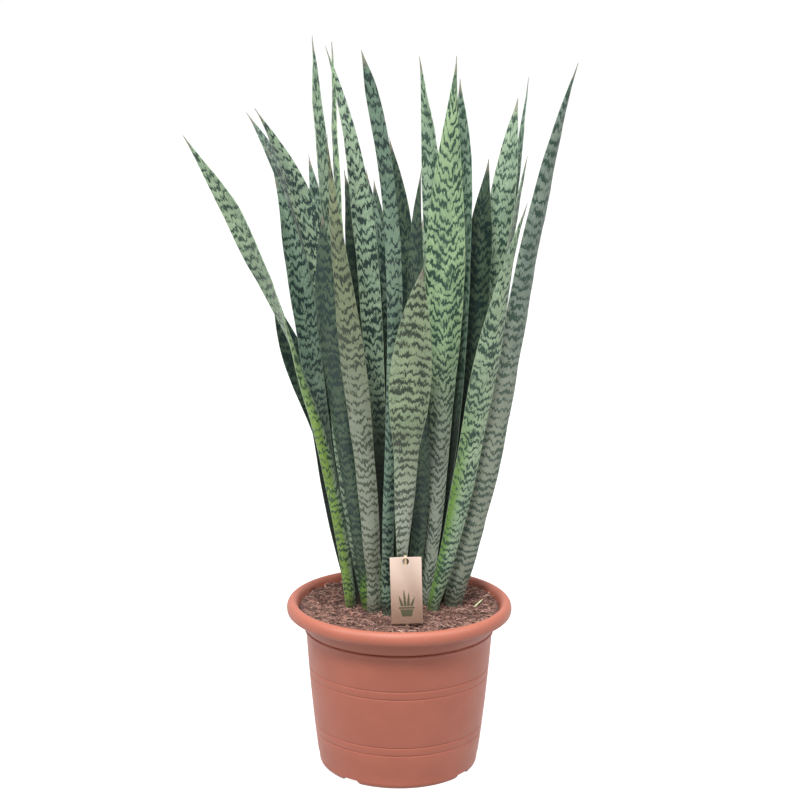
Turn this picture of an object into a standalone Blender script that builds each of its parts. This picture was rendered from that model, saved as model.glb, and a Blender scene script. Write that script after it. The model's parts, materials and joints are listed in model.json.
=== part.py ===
"""A snake plant in a round moulded pot: pot, soil, a kraft label on a stick, and one object per leaf.

Metres, +Z up. The origin is on the pot's axis, in the plane that the pot stands on. The label side of the
plant faces -Y, and the longest leaf on the left reaches towards -X.
"""

import math

import bmesh
import bpy
from mathutils import Matrix, Vector

# ---------------------------------------------------------------- driving dimensions
CLEARANCE = 0.0003          # between pieces that touch

RIM_RADIUS = 0.135          # outside of the rolled rim
POT_HEIGHT = 0.2028
POT_WALL = 0.0024
ROLL_WIDTH = 0.0138         # the rolled rim, across
ROLL_DEPTH = 0.0186         # the rolled rim, top to bottom
RIM_OVERHANG = 0.023        # how far the rim stands out from the top of the body
BODY_TAPER = 0.0103         # straight part of the body's narrowing, neck to foot
BODY_BOW = 0.0062           # curved part of the same narrowing
NECK_DROP = 0.0361          # from the top of the pot to the bead under the rim
BEAD = 0.0011               # how far that bead stands out
ROLL_SIDES = 9              # points round the outside of the roll
ROLL_START = 165.0          # degrees on the roll where the inside wall meets it
ROLL_END = -30.0            # degrees on the roll where its lower edge begins
LIP_TURN = (0.9, 0.72)      # the roll's lower edge, as shares of the hollow's and the roll's half sizes
NECK_STEPS = ((0.0043, 0.0100), (0.0014, 0.0030), (BEAD, 0.0010), (BEAD, -0.0006))  # (out, up)
NECK_END = 0.0030           # below the bead the body starts
GROOVE_DEPTH = 0.0006
GROOVE_HALF = 0.0011
UPPER_GROOVES = 0.588       # middle of the upper pair, as a share of the pot's height
LOWER_GROOVES = 0.238
GROOVE_SPACING = 0.0100
FOOT_INSET = 0.0070         # from the body's foot corner in to the standing ring
FOOT_WIDTH = 0.0090
FOOT_HEIGHT = 0.0055        # height of the raised floor above the ground
FOOT_DRAFT = 0.002          # slope of the standing ring's inner side
FOOT_TOP = 0.0085           # where the body starts to round into the foot
FOOT_CORNER = ((0.0012, 0.0042), (0.0036, 0.0014))  # the rounded foot corner, as (in, up)
FLOOR_THICKNESS = 0.0028
FLOOR_CORNER = 0.005        # slope between the floor and the wall, inside
PAD_RADIUS = 0.018          # middle pad that carries the floor
NOTCH_COUNT = 4
NOTCH_TURN = 54.0           # degrees from +X to the first drain notch
NOTCH_WIDTH = 0.030
NOTCH_HEIGHT = 0.0052
NOTCH_TOP = 0.62            # width of a notch at its top, over NOTCH_WIDTH
NOTCH_FOOT = 1.15           # the same below the ground
NOTCH_MARGIN = 0.007        # a notch's cutter reaches this far past the ring on each side
DRAIN_RADIUS = 0.007
DRAIN_INSET = 0.007         # from a drain hole's edge to the standing ring
POT_SIDES = 40

SOIL_DROP = 0.0128          # from the top of the pot to the soil beside the leaves
SOIL_BANK = 0.005           # how much higher the soil lies at the pot's wall
SOIL_SHOULDER = 0.022       # width of the band beside the wall where it rises
POCKET_SIDE = 6.0           # a leaf's pocket is wider than the leaf by this many clearances
POCKET_FACE = 3.4           # and thicker by this many

LEAF_WIDTH = 0.048          # broadest leaf
BLADE_HEIGHT = 0.670        # tallest leaf, above the crown
LEAF_BASE_THICKNESS = 0.0046
LEAF_TOP_THICKNESS = 0.0018
LEAF_ROOT_DEPTH = 0.024     # length of leaf below the soil
CROWN_RISE = 0.003          # the leaves start to spread this far above the soil
CLUMP_MIDDLE = 0.015        # the leaves fan out in depth from this far behind the pot's axis
FAN = 2.0                   # depth of the clump at the top, over its depth at the soil, less one
FAN_CURVE = 1.25
LEAF_RINGS = 15
THIN_FROM = 0.7             # a leaf thins quickly at first, then slowly
CHANNEL = 0.20              # depth of the channel at the soil, over the leaf's width
CHANNEL_LOSS = 0.12         # and how much of that is gone at the tip
EDGE_THIN = 0.6             # a leaf's edge is thinner than its middle by this share
SHARP = math.radians(50)    # edges that turn more than this are drawn sharp

LABEL_WIDTH = 0.0365
LABEL_HEIGHT = 0.0795
LABEL_THICKNESS = 0.0008
LABEL_LEAN = -1.9           # degrees
LABEL_X = 0.0096
LABEL_STANDOFF = 0.030      # in front of the foremost leaf at the soil
LABEL_GAP = 0.005           # between the label's lower edge and the soil
LABEL_HOLE_WIDTH = 0.0074
LABEL_HOLE_HEIGHT = 0.0085
LABEL_HOLE_DROP = 0.0010    # from the label's top edge down to the top of its hole
STICK_DIAMETER = 0.0034
STICK_RISE = 0.001          # the stick ends this far above the label
STICK_ROOT_DEPTH = 0.045

# The leaf table is drawn in millimetres for a broadest leaf of 48 and a tallest of 670.
TABLE_WIDTH = 48.0
TABLE_RISE = 670.0
ACROSS = LEAF_WIDTH / TABLE_WIDTH
UP = BLADE_HEIGHT / TABLE_RISE

# name: root (x, y), then (x, height) where the leaf bends, where it is broadest, and at its tip,
# its width at the root, the bend and the broadest place, the turn of its blade in degrees about the
# vertical at the root, the bend, the broadest place and the tip, and how slender its point is.
LEAVES = {
    "leaf_front_left": ((-30, -21), (-40, 165), (-54, 290), (-83, 560), (15, 23, 30), (0, -8, -18, -30), 1.2),
    "leaf_front_slim": ((-14, -28), (-7, 360), (-33, 605), (-45, 649), (12, 17, 16), (0, 10, 15, 20), 0.9),
    "leaf_front_short": ((3, -40), (7, 184), (10, 280), (23, 418), (12, 26, 48), (75, 15, 0, 10), 0.9),
    "leaf_front_tall": ((30, 3), (46, 180), (51, 412), (60, 647), (14, 23, 47), (0, 5, 12, 35), 1.3),
    "leaf_front_right": ((39, -15), (79, 183), (99, 300), (139, 486), (14, 27, 34), (0, 8, 28, 45), 1.2),
    "leaf_right_outer": ((63, 3), (107, 190), (150, 440), (195, 640), (22, 31, 28), (0, 12, 35, 45), 1.0),
    "leaf_left_outer": ((-56, 0), (-88, 190), (-163, 412), (-248, 557), (16, 18, 33), (45, 45, 135, 165), 1.2),
    "leaf_left_low": ((-37, -7), (-64, 185), (-85, 365), (-90, 474), (14, 20, 33), (-10, -20, -25, -30), 1.2),
    "leaf_left_broad": ((-36, 10), (-70, 230), (-112, 470), (-169, 587), (16, 26, 33), (0, -10, -28, -40), 1.2),
    "leaf_left_awn": ((-50, 49), (-92, 250), (-138, 490), (-189, 583), (16, 24, 24), (0, 12, 35, 40), 1.2),
    "leaf_left_edge": ((-40, 28), (-82, 245), (-121, 450), (-163, 548), (14, 24, 24), (65, 65, 70, 60), 1.2),
    "leaf_left_dark": ((-52, 18), (-97, 230), (-120, 385), (-149, 513), (16, 22, 29), (0, 5, 25, 35), 1.2),
    "leaf_left_back": ((-60, 37), (-95, 200), (-128, 290), (-154, 366), (15, 23, 29), (20, 15, 20, 30), 1.2),
    "leaf_left_small": ((-30, 52), (-59, 220), (-99, 440), (-114, 534), (14, 19, 24), (0, 12, 32, 34), 1.1),
    "leaf_tallest": ((-24, 22), (-66, 230), (-93, 500), (-105, 670), (14, 22, 25), (60, 68, 62, 45), 1.0),
    "leaf_twin_broad": ((-8, 24), (-30, 245), (-44, 440), (-90, 659), (15, 23, 27), (0, 5, 18, 25), 1.0),
    "leaf_twin_slim": ((-20, -4), (-50, 220), (-76, 530), (-79, 660), (13, 22, 24), (-70, -70, -75, -70), 1.2),
    "leaf_middle_dark": ((-24, 36), (-31, 205), (-46, 370), (-70, 517), (16, 34, 42), (0, 5, 22, 30), 1.2),
    "leaf_middle_blue": ((-4, 48), (-15, 230), (-30, 390), (-44, 517), (16, 32, 37), (0, 5, 25, 35), 1.2),
    "leaf_middle_low": ((-14, 61), (-10, 237), (-23, 400), (-35, 505), (16, 26, 31), (0, -5, -25, -30), 1.2),
    "leaf_middle_awn": ((6, 35), (4, 235), (0, 440), (-16, 556), (15, 27, 31), (0, -5, -22, -30), 1.2),
    "leaf_centre_dark": ((14, -6), (23, 189), (17, 400), (21, 522), (14, 22, 22), (0, 0, 30, 30), 1.2),
    "leaf_centre_neck": ((16, 22), (36, 247), (36, 495), (18, 648), (15, 24, 26), (0, -5, -22, -60), 1.2),
    "leaf_centre_back": ((32, 18), (59, 235), (70, 520), (65, 623), (15, 25, 25), (0, -5, -25, -30), 1.1),
    "leaf_right_low": ((44, 32), (79, 223), (93, 420), (101, 531), (16, 28, 35), (0, -8, -30, -40), 1.2),
    "leaf_right_broad": ((50, 45), (93, 235), (121, 470), (137, 602), (16, 29, 37), (0, -8, -32, -40), 0.9),
    "leaf_right_awn": ((60, 57), (100, 235), (124, 400), (153, 628), (15, 24, 27), (0, -12, -38, -40), 1.7),
    "leaf_right_edge": ((50, 20), (97, 222), (124, 428), (145, 535), (14, 20, 22), (50, 62, 68, 60), 1.2),
    "leaf_back_left": ((-46, 66), (-76, 230), (-98, 350), (-108, 440), (15, 26, 30), (30, 45, 60, 60), 1.2),
    "leaf_back_inner": ((-24, 76), (-34, 220), (-46, 360), (-54, 470), (15, 27, 32), (10, 25, 40, 40), 1.2),
    "leaf_back_middle": ((9, 66), (17, 220), (22, 350), (25, 455), (15, 27, 32), (0, -12, -30, -40), 1.2),
    "leaf_back_right": ((28, 50), (46, 220), (60, 340), (68, 440), (15, 25, 30), (-10, -25, -45, -50), 1.2),
    "leaf_back_outer": ((42, 72), (64, 220), (86, 330), (100, 430), (15, 26, 30), (-20, -40, -58, -60), 1.2),
}

# ---------------------------------------------------------------- derived places
SOIL_TOP = POT_HEIGHT - SOIL_DROP
CROWN = SOIL_TOP + CROWN_RISE
FLOOR_TOP = FOOT_HEIGHT + FLOOR_THICKNESS
NECK_RADIUS = RIM_RADIUS - RIM_OVERHANG
NECK_Z = POT_HEIGHT - NECK_DROP
FRONT_ROOT = min(shape[0][1] for shape in LEAVES.values())
BACK_ROOT = max(shape[0][1] for shape in LEAVES.values())
LABEL_Y = FRONT_ROOT * ACROSS - LABEL_STANDOFF


# ---------------------------------------------------------------- helpers
def new_collection(name):
    collection = bpy.data.collections.new(name)
    bpy.context.scene.collection.children.link(collection)
    return collection


def new_material(name, colour, roughness):
    material = bpy.data.materials.new(name)
    material.use_nodes = True
    shader = material.node_tree.nodes["Principled BSDF"]
    shader.inputs["Base Color"].default_value = (*colour, 1.0)
    shader.inputs["Roughness"].default_value = roughness
    shader.inputs["Metallic"].default_value = 0.0
    return material


def add_object(name, mesh, collection, material=None):
    piece = bpy.data.objects.new(name, mesh)
    collection.objects.link(piece)
    if material is not None:
        mesh.materials.append(material)
    return piece


def as_cutter(piece):
    piece.hide_render = True
    piece.display_type = "WIRE"
    return piece


def cut(piece, cutter):
    modifier = piece.modifiers.new("cut_" + cutter.name, "BOOLEAN")
    modifier.operation = "DIFFERENCE"
    modifier.solver = "EXACT"
    modifier.object = cutter


def turned(name, profile, sides, collection, material):
    """A turned piece: its profile runs from the axis, down the outer side, and back to the axis."""
    mesh = bpy.data.meshes.new(name)
    edges = [(i, i + 1) for i in range(len(profile) - 1)]
    mesh.from_pydata([(radius, 0.0, z) for radius, z in profile], edges, [])
    piece = add_object(name, mesh, collection, material)
    screw = piece.modifiers.new("turn", "SCREW")
    screw.axis = "Z"
    screw.steps = sides
    screw.render_steps = sides
    screw.use_merge_vertices = True
    screw.merge_threshold = 0.00002
    screw.use_smooth_shade = True
    return piece


def arc(centre, radii, start, end, count):
    """Points on an ellipse about centre, from the start angle to the end angle, in degrees."""
    points = []
    for i in range(count):
        angle = math.radians(start + (end - start) * i / (count - 1))
        points.append((centre[0] + radii[0] * math.cos(angle), centre[1] + radii[1] * math.sin(angle)))
    return points


def smooth(share):
    return share * share * (3.0 - 2.0 * share)


# ---------------------------------------------------------------- pot
def body_radius(z):
    """Outer radius of the pot's body, which narrows towards the foot and bows out a little."""
    share = (NECK_Z - z) / NECK_Z
    return NECK_RADIUS - BODY_TAPER * share - BODY_BOW * share * share


def inner_radius(z):
    """Inner radius of the pot: the body's wall, opening to the rim above the neck."""
    wall = body_radius(min(z, NECK_Z)) - POT_WALL
    if z <= NECK_Z:
        return wall
    start = math.radians(ROLL_START)
    mouth = RIM_RADIUS - ROLL_WIDTH / 2 * (1.0 - math.cos(start))
    top = POT_HEIGHT - ROLL_DEPTH / 2 * (1.0 - math.sin(start))
    return wall + (mouth - wall) * (z - NECK_Z) / (top - NECK_Z)


def standing_ring():
    """Outer radius of the ring that the pot stands on."""
    return body_radius(0.0) - FOOT_INSET


def groove(z):
    return [
        (body_radius(z + GROOVE_HALF), z + GROOVE_HALF),
        (body_radius(z) - GROOVE_DEPTH, z),
        (body_radius(z - GROOVE_HALF), z - GROOVE_HALF),
    ]


def pot_profile():
    roll = (RIM_RADIUS - ROLL_WIDTH / 2, POT_HEIGHT - ROLL_DEPTH / 2)
    outer = (ROLL_WIDTH / 2, ROLL_DEPTH / 2)
    hollow = (outer[0] - POT_WALL, outer[1] - POT_WALL)
    corner = inner_radius(FLOOR_TOP + FLOOR_CORNER)
    foot = body_radius(0.0)
    ring = standing_ring()
    profile = [(0.0, FLOOR_TOP), (corner - FLOOR_CORNER, FLOOR_TOP), (corner, FLOOR_TOP + FLOOR_CORNER)]
    profile.append((inner_radius(POT_HEIGHT / 2), POT_HEIGHT / 2))
    profile.append((inner_radius(NECK_Z), NECK_Z))
    profile += arc(roll, outer, ROLL_START, ROLL_END, ROLL_SIDES)
    profile.append((roll[0] + hollow[0] * LIP_TURN[0], roll[1] - outer[1] * LIP_TURN[1]))
    profile += arc(roll, hollow, 0, 170, 5)
    profile += [(NECK_RADIUS + out, NECK_Z + up) for out, up in NECK_STEPS]
    profile.append((body_radius(NECK_Z - NECK_END), NECK_Z - NECK_END))
    for share in (UPPER_GROOVES, LOWER_GROOVES):
        middle = share * POT_HEIGHT
        profile += groove(middle + GROOVE_SPACING / 2)
        profile += groove(middle - GROOVE_SPACING / 2)
    profile.append((body_radius(FOOT_TOP), FOOT_TOP))
    profile += [(foot - inset, up) for inset, up in FOOT_CORNER]
    profile += [(ring, 0.0), (ring - FOOT_WIDTH, 0.0), (ring - FOOT_WIDTH - FOOT_DRAFT, FOOT_HEIGHT)]
    profile += [(PAD_RADIUS + FOOT_DRAFT / 2, FOOT_HEIGHT), (PAD_RADIUS, 0.0), (0.0, 0.0)]
    return profile


def notch_cutter(collection):
    """Wedges that open the standing ring where the water runs out, narrower at the top than below."""
    mesh = bpy.data.meshes.new("drain_notches")
    bm = bmesh.new()
    reach = FOOT_WIDTH + FOOT_INSET + 2 * NOTCH_MARGIN
    middle = standing_ring() + (FOOT_INSET - FOOT_WIDTH) / 2
    for i in range(NOTCH_COUNT):
        made = bmesh.ops.create_cube(bm, size=1.0)["verts"]
        for vert in made:
            top = vert.co.z > 0
            vert.co.x = middle + vert.co.x * reach
            vert.co.y = vert.co.y * NOTCH_WIDTH * (NOTCH_TOP if top else NOTCH_FOOT)
            vert.co.z = NOTCH_HEIGHT if top else -NOTCH_HEIGHT
        turn = Matrix.Rotation(math.radians(NOTCH_TURN + 360.0 * i / NOTCH_COUNT), 3, "Z")
        bmesh.ops.rotate(bm, cent=(0, 0, 0), matrix=turn, verts=made)
    bm.to_mesh(mesh)
    bm.free()
    return as_cutter(add_object("drain_notches", mesh, collection))


def drain_cutter(collection):
    mesh = bpy.data.meshes.new("drain_holes")
    bm = bmesh.new()
    circle = standing_ring() - FOOT_WIDTH - DRAIN_INSET - DRAIN_RADIUS
    sizes = {"radius1": DRAIN_RADIUS, "radius2": DRAIN_RADIUS, "depth": 4 * FLOOR_THICKNESS}
    for i in range(NOTCH_COUNT):
        angle = math.radians(NOTCH_TURN + 360.0 * i / NOTCH_COUNT)
        place = Matrix.Translation((circle * math.cos(angle), circle * math.sin(angle), FLOOR_TOP))
        bmesh.ops.create_cone(bm, cap_ends=True, segments=12, matrix=place, **sizes)
    bm.to_mesh(mesh)
    bm.free()
    return as_cutter(add_object("drain_holes", mesh, collection))


def make_pot(parts, cutters):
    terracotta = new_material("terracotta_plastic", (0.46, 0.155, 0.105), 0.55)
    pot = turned("pot", pot_profile(), POT_SIDES, parts, terracotta)
    cut(pot, notch_cutter(cutters))
    cut(pot, drain_cutter(cutters))
    return pot


# ---------------------------------------------------------------- leaves
def fan_depth(root_y, height):
    """Depth of a leaf at a height above the crown: every leaf leans out from the clump's middle."""
    share = max(0.0, height) / BLADE_HEIGHT
    return CLUMP_MIDDLE + (root_y - CLUMP_MIDDLE) * (1.0 + FAN * share ** FAN_CURVE)


def through(knots, values, t):
    """The smooth curve through one value at each knot (Lagrange's cubic), at t."""
    total = 0.0
    for i, value in enumerate(values):
        weight = 1.0
        for j, knot in enumerate(knots):
            if j != i:
                weight *= (t - knot) / (knots[i] - knot)
        total += weight * value
    return total


def blade_width(knots, widths, taper, t):
    """Widens from the root over the bend to the broadest place, then narrows to a point at the tip."""
    root, bend, broad = widths
    if t < knots[1]:
        return root + (bend - root) * smooth(t / knots[1])
    if t < knots[2]:
        return bend + (broad - bend) * smooth((t - knots[1]) / (knots[2] - knots[1]))
    share = (t - knots[2]) / (1.0 - knots[2])
    return broad * math.cos(math.pi / 2 * share) ** taper


def section(centre, along, turn, width, thickness, curl):
    """Eight points round a leaf: a channel with thin edges, open towards the middle of the clump."""
    across = Vector((math.cos(turn), math.sin(turn), 0.0))
    across = (across - across.dot(along) * along).normalized()
    inward = along.cross(across)
    half = width / 2
    points = []
    for place, side in ((-1, 0), (-0.5, -1), (0, -1), (0.5, -1), (1, 0), (0.5, 1), (0, 1), (-0.5, 1)):
        rise = curl * place * place + side * thickness / 2 * (1.0 - EDGE_THIN * place * place)
        points.append(centre + across * (half * place) + inward * rise)
    return points


def leaf_course(shape):
    """A leaf's rings above the crown, as (centre, direction, turn, width, thickness, curl), and its tip."""
    root, bend, broad, tip, widths, turns, taper = shape
    root_y = root[1] * ACROSS
    stations = []
    for x, height in ((root[0], 0.0), bend, broad, tip):
        rise = height * UP
        stations.append(Vector((x * ACROSS, fan_depth(root_y, rise), CROWN + rise)))
    lengths = [0.0]
    for first, second in zip(stations, stations[1:]):
        lengths.append(lengths[-1] + (second - first).length)
    knots = [length / lengths[-1] for length in lengths]

    def place(t):
        height = through(knots, [station.z for station in stations], t) - CROWN
        x = through(knots, [station.x for station in stations], t)
        return Vector((x, fan_depth(root_y, height), CROWN + height))

    facing = 1.0 if root_y < CLUMP_MIDDLE else -1.0
    rings = []
    for i in range(LEAF_RINGS):
        t = i / LEAF_RINGS
        direction = (place(t + 0.01) - place(max(0.0, t - 0.01))).normalized()
        if i == 0:
            direction = Vector((0.0, 0.0, 1.0))
        width = blade_width(knots, widths, taper, t) * ACROSS
        thickness = LEAF_BASE_THICKNESS + (LEAF_TOP_THICKNESS - LEAF_BASE_THICKNESS) * t ** THIN_FROM
        curl = facing * width * (CHANNEL - CHANNEL_LOSS * t)
        rings.append((place(t), direction, math.radians(through(knots, turns, t)), width, thickness, curl))
    return rings, place(1.0)


def add_rings(bm, rings, tip=None):
    """Skins a stack of equal rings, closed by a flat end below and by a flat end or a point above.

    A pointed stack is a blade that may twist, so its two faces are split along the same diagonals, which
    keeps them apart. A stack with two flat ends is straight and needs no diagonals.
    """
    loops = [[bm.verts.new(point) for point in ring] for ring in rings]
    count = len(loops[0])
    for lower, upper in zip(loops, loops[1:]):
        for j in range(count):
            k = (j + 1) % count
            if tip is None:
                bm.faces.new((lower[j], lower[k], upper[k], upper[j]))
            elif j < count // 2:
                bm.faces.new((lower[j], lower[k], upper[k]))
                bm.faces.new((lower[j], upper[k], upper[j]))
            else:
                bm.faces.new((lower[j], lower[k], upper[j]))
                bm.faces.new((lower[k], upper[k], upper[j]))
    bm.faces.new(list(reversed(loops[0])))
    if tip is None:
        bm.faces.new(loops[-1])
        return
    apex = bm.verts.new(tip)
    for j in range(count):
        bm.faces.new((loops[-1][j], loops[-1][(j + 1) % count], apex))


def make_leaf(name, shape, collection, material):
    courses, tip = leaf_course(shape)
    rings = [section(*course) for course in courses]
    depth = Vector((0.0, 0.0, CROWN_RISE + LEAF_ROOT_DEPTH))
    rings.insert(0, [point - depth for point in rings[0]])
    mesh = bpy.data.meshes.new(name)
    bm = bmesh.new()
    add_rings(bm, rings, tip)
    bm.to_mesh(mesh)
    bm.free()
    mesh.shade_smooth()
    mesh.set_sharp_from_angle(angle=SHARP)
    return add_object(name, mesh, collection, material)


def leaf_colour(shape):
    """Leaves at the front are a light sage green, those behind a darker blue green."""
    depth = (shape[0][1] - FRONT_ROOT) / (BACK_ROOT - FRONT_ROOT)
    light = Vector((0.29, 0.36, 0.20))
    dark = Vector((0.08, 0.15, 0.10))
    return tuple(light.lerp(dark, depth))


# ---------------------------------------------------------------- soil
def pocket_cutter(collection):
    """One slot in the soil for each leaf, its root's outline with the clearance all round."""
    mesh = bpy.data.meshes.new("leaf_pockets")
    bm = bmesh.new()
    for shape in LEAVES.values():
        centre, direction, turn, width, thickness, curl = leaf_course(shape)[0][0]
        wider = width + POCKET_SIDE * CLEARANCE
        same_bend = curl * (wider / width) ** 2
        ring = section(centre, direction, turn, wider, thickness + POCKET_FACE * CLEARANCE, same_bend)
        low = SOIL_TOP - LEAF_ROOT_DEPTH - CLEARANCE
        high = SOIL_TOP + CROWN_RISE
        rings = [[Vector((point.x, point.y, z)) for point in ring] for z in (low, high)]
        add_rings(bm, rings)
    bm.to_mesh(mesh)
    bm.free()
    return as_cutter(add_object("leaf_pockets", mesh, collection))


def stick_pocket(collection, label):
    mesh = bpy.data.meshes.new("stick_pocket")
    bm = bmesh.new()
    radius = STICK_DIAMETER / 2 + CLEARANCE
    length = STICK_ROOT_DEPTH + LABEL_GAP
    middle = Matrix.Translation((0.0, 0.0, -STICK_ROOT_DEPTH - CLEARANCE + length / 2))
    bmesh.ops.create_cone(
        bm, cap_ends=True, segments=12, radius1=radius, radius2=radius, depth=length, matrix=middle
    )
    bm.to_mesh(mesh)
    bm.free()
    cutter = as_cutter(add_object("stick_pocket", mesh, collection))
    cutter.parent = label
    return cutter


def soil_profile():
    edge = SOIL_TOP + SOIL_BANK
    bottom = FLOOR_TOP + CLEARANCE
    side = 2 * CLEARANCE
    corner = inner_radius(FLOOR_TOP + FLOOR_CORNER) - side
    wall = [(inner_radius(z) - side, z) for z in (edge, NECK_Z, POT_HEIGHT / 2)]
    shoulder = (inner_radius(SOIL_TOP) - SOIL_SHOULDER, SOIL_TOP)
    slope = [(corner, bottom + FLOOR_CORNER), (corner - FLOOR_CORNER, bottom)]
    return [(0.0, SOIL_TOP), shoulder, *wall, *slope, (0.0, bottom)]


def make_soil(parts, cutters, label):
    coir = new_material("coir_soil", (0.085, 0.048, 0.034), 0.95)
    soil = turned("soil", soil_profile(), POT_SIDES, parts, coir)
    cut(soil, pocket_cutter(cutters))
    cut(soil, stick_pocket(cutters, label))
    return soil


# ---------------------------------------------------------------- label
def make_label(parts, cutters, label):
    """A kraft card in front of its stick, with an oval hole at the top that the stick shows through."""
    kraft = new_material("kraft_card", (0.52, 0.36, 0.26), 0.85)
    mesh = bpy.data.meshes.new("label_card")
    bm = bmesh.new()
    bmesh.ops.create_cube(bm, size=1.0)
    bmesh.ops.scale(bm, vec=(LABEL_WIDTH, LABEL_THICKNESS, LABEL_HEIGHT), verts=bm.verts)
    bm.to_mesh(mesh)
    bm.free()
    card = add_object("label_card", mesh, parts, kraft)
    card.parent = label
    forward = STICK_DIAMETER / 2 + CLEARANCE + LABEL_THICKNESS / 2
    card.location = (0.0, -forward, LABEL_GAP + LABEL_HEIGHT / 2)

    hole = bpy.data.meshes.new("label_hole")
    bm = bmesh.new()
    bmesh.ops.create_cone(bm, cap_ends=True, segments=16, radius1=0.5, radius2=0.5, depth=1.0)
    bmesh.ops.rotate(bm, cent=(0, 0, 0), matrix=Matrix.Rotation(math.pi / 2, 3, "X"), verts=bm.verts)
    size = (LABEL_HOLE_WIDTH, LABEL_THICKNESS * 4, LABEL_HOLE_HEIGHT)
    bmesh.ops.scale(bm, vec=size, verts=bm.verts)
    bm.to_mesh(hole)
    bm.free()
    cutter = as_cutter(add_object("label_hole", hole, cutters))
    cutter.parent = label
    cutter.location = (0.0, -forward, LABEL_GAP + LABEL_HEIGHT - LABEL_HOLE_DROP - LABEL_HOLE_HEIGHT / 2)
    cut(card, cutter)


def make_stick(parts, label):
    birch = new_material("birch_stick", (0.62, 0.45, 0.28), 0.7)
    top = LABEL_GAP + LABEL_HEIGHT + STICK_RISE
    length = top + STICK_ROOT_DEPTH
    mesh = bpy.data.meshes.new("label_stick")
    bm = bmesh.new()
    radius = STICK_DIAMETER / 2
    bmesh.ops.create_cone(bm, cap_ends=True, segments=12, radius1=radius, radius2=radius, depth=length)
    bm.to_mesh(mesh)
    bm.free()
    mesh.shade_smooth()
    mesh.set_sharp_from_angle(angle=SHARP)
    stick = add_object("label_stick", mesh, parts, birch)
    stick.parent = label
    stick.location = (0.0, 0.0, top - length / 2)


# ---------------------------------------------------------------- the whole plant
def build():
    for old in list(bpy.data.objects):
        bpy.data.objects.remove(old, do_unlink=True)
    parts = new_collection("potted_snake_plant")
    cutters = new_collection("cutters")

    label = bpy.data.objects.new("label_frame", None)
    parts.objects.link(label)
    label.location = (LABEL_X, LABEL_Y, SOIL_TOP)
    label.rotation_euler = (0.0, math.radians(LABEL_LEAN), 0.0)

    make_pot(parts, cutters)
    make_soil(parts, cutters, label)
    make_label(parts, cutters, label)
    make_stick(parts, label)
    for name, shape in LEAVES.items():
        material = new_material(name + "_green", leaf_colour(shape), 0.45)
        make_leaf(name, shape, parts, material)


build()
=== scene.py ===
# %% [markdown]
# # A snake plant in a nursery pot
#
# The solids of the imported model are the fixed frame. Each visible piece is built here with more detail
# around them: banded leaves, a turned pot, loose soil, and a kraft label on its stick.

# %% Load the frame
import json
import math
import random

import bmesh
import bpy
import numpy as np
from mathutils import Matrix, Vector
from mathutils.bvhtree import BVHTree


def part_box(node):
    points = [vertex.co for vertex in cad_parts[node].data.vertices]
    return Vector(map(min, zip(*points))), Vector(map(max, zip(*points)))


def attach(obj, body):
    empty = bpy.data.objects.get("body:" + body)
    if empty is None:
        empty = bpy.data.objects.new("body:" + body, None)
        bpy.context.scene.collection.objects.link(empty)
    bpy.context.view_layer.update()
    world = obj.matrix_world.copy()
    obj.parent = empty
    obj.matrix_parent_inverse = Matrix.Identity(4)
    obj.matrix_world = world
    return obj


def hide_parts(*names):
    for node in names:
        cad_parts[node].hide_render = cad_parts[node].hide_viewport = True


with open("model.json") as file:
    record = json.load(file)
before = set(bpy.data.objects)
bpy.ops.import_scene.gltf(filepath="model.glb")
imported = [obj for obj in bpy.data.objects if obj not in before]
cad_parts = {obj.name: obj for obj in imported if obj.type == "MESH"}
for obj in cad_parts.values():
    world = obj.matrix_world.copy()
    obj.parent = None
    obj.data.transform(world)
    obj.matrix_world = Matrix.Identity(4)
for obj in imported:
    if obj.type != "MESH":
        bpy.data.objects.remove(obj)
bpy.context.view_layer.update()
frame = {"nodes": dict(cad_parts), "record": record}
nodes = frame["nodes"]
bpy.ops.object.select_all(action="DESELECT")
print("CAD nodes:", len(nodes))

# %% [markdown]
# Small helpers come first. A finished piece keeps its object at the origin, with its place in its mesh,
# so the first helper makes a mesh object there. The others select it, apply its modifiers and hide the
# CAD node it stands for.


# %% Helpers for meshes
def new_piece(name, points, faces=(), edges=()):
    mesh = bpy.data.meshes.new(name)
    mesh.from_pydata([tuple(point) for point in points], list(edges), list(faces))
    piece = bpy.data.objects.new(name, mesh)
    bpy.context.scene.collection.objects.link(piece)
    return piece


def pick(piece):
    bpy.ops.object.select_all(action="DESELECT")
    piece.select_set(True)
    bpy.context.view_layer.objects.active = piece


def edit_all(piece):
    """Opens a piece in edit mode with all of it selected."""
    pick(piece)
    bpy.ops.object.mode_set(mode="EDIT")
    bpy.ops.mesh.select_all(action="SELECT")


def leave_edit():
    bpy.ops.object.mode_set(mode="OBJECT")


def apply_all(piece):
    pick(piece)
    for modifier in list(piece.modifiers):
        bpy.ops.object.modifier_apply(modifier=modifier.name)


def settle(piece):
    """Moves a piece's place, turn and scale into its mesh."""
    pick(piece)
    bpy.ops.object.transform_apply(location=True, rotation=True, scale=True)


def finish_piece(piece, material, slot, *replaced):
    piece.data.materials.clear()
    piece.data.materials.append(material)
    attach(piece, "root")
    if replaced:
        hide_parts(*replaced)


# %% Helpers for materials
def new_finish(name, roughness):
    """A material and its Principled shader."""
    material = bpy.data.materials.new(name)
    material.use_nodes = True
    shader = material.node_tree.nodes["Principled BSDF"]
    shader.inputs["Roughness"].default_value = roughness
    return material, shader


def put(tree, kind, inputs=(), **settings):
    """Adds a node, sets it up, and joins or fills its inputs; returns its first output."""
    made = tree.nodes.new(kind)
    for key, value in settings.items():
        setattr(made, key, value)
    for key, value in dict(inputs).items():
        if isinstance(value, bpy.types.NodeSocket):
            tree.links.new(value, made.inputs[key])
        else:
            made.inputs[key].default_value = value
    return made.outputs[0]


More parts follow.
